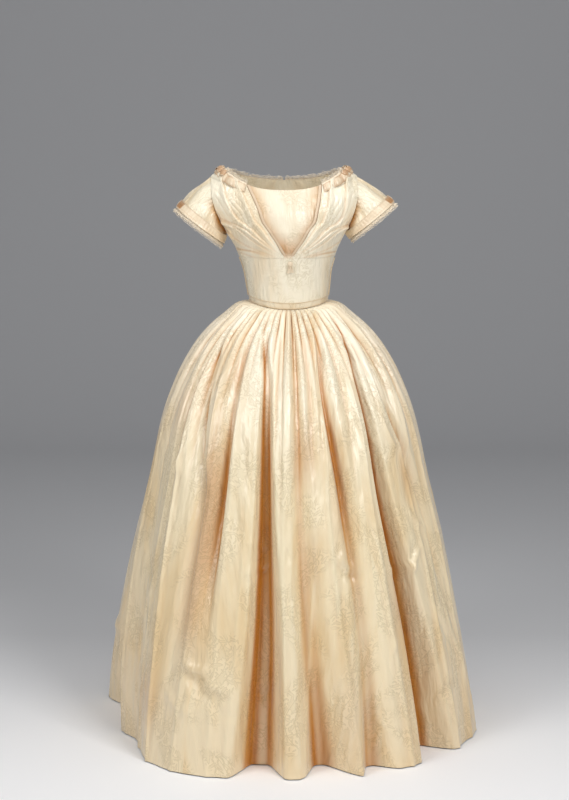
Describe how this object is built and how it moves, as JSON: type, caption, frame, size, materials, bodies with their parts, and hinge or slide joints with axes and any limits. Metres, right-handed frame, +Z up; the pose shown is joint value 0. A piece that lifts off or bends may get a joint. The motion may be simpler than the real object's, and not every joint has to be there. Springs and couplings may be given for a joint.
{
  "type": "wedding dress",
  "caption": "Hollow worn-form silk dress: fitted bodice with wide neckline and V front, short flared sleeves, full gathered floor-length skirt.",
  "frame": {"origin": "centre of the waist, at the height of the waist seam at the sides, where the wearer holds the dress up", "axes": "+Z up, -Y the wearer's front, +X the wearer's left"},
  "size_m": [0.9238, 0.8871, 1.358],
  "materials": {
    "silk_damask": "cream silk damask, low sheen with a slightly darker woven floral figure",
    "satin_ribbon": "tan-cream satin ribbon with corded edges",
    "lace": "fine cream cotton lace, matt",
    "piping": "silk-covered piping and narrow gimp"
  },
  "bodies": {
    "root": {"skirt_front": "silk_damask", "skirt_front_left": "silk_damask", "skirt_back_left": "silk_damask", "skirt_back": "silk_damask", "skirt_back_right": "silk_damask", "skirt_front_right": "silk_damask", "waistband": "silk_damask", "waist_piping": "piping", "bodice_front": "silk_damask", "bodice_back_left": "silk_damask", "bodice_back_right": "silk_damask", "front_bow": "satin_ribbon", "drape_left": "silk_damask", "drape_right": "silk_damask", "v_trim_left": "piping", "v_trim_right": "piping", "side_piping_left": "piping", "side_piping_right": "piping", "neck_ribbon_left": "satin_ribbon", "neck_ribbon_right": "satin_ribbon", "neck_lace_left": "lace", "neck_lace_right": "lace", "sleeve_left": "silk_damask", "sleeve_right": "silk_damask", "sleeve_ribbon_left": "satin_ribbon", "sleeve_ribbon_right": "satin_ribbon", "sleeve_lace_left": "lace", "sleeve_lace_right": "lace"}
  },
  "joints": []
}
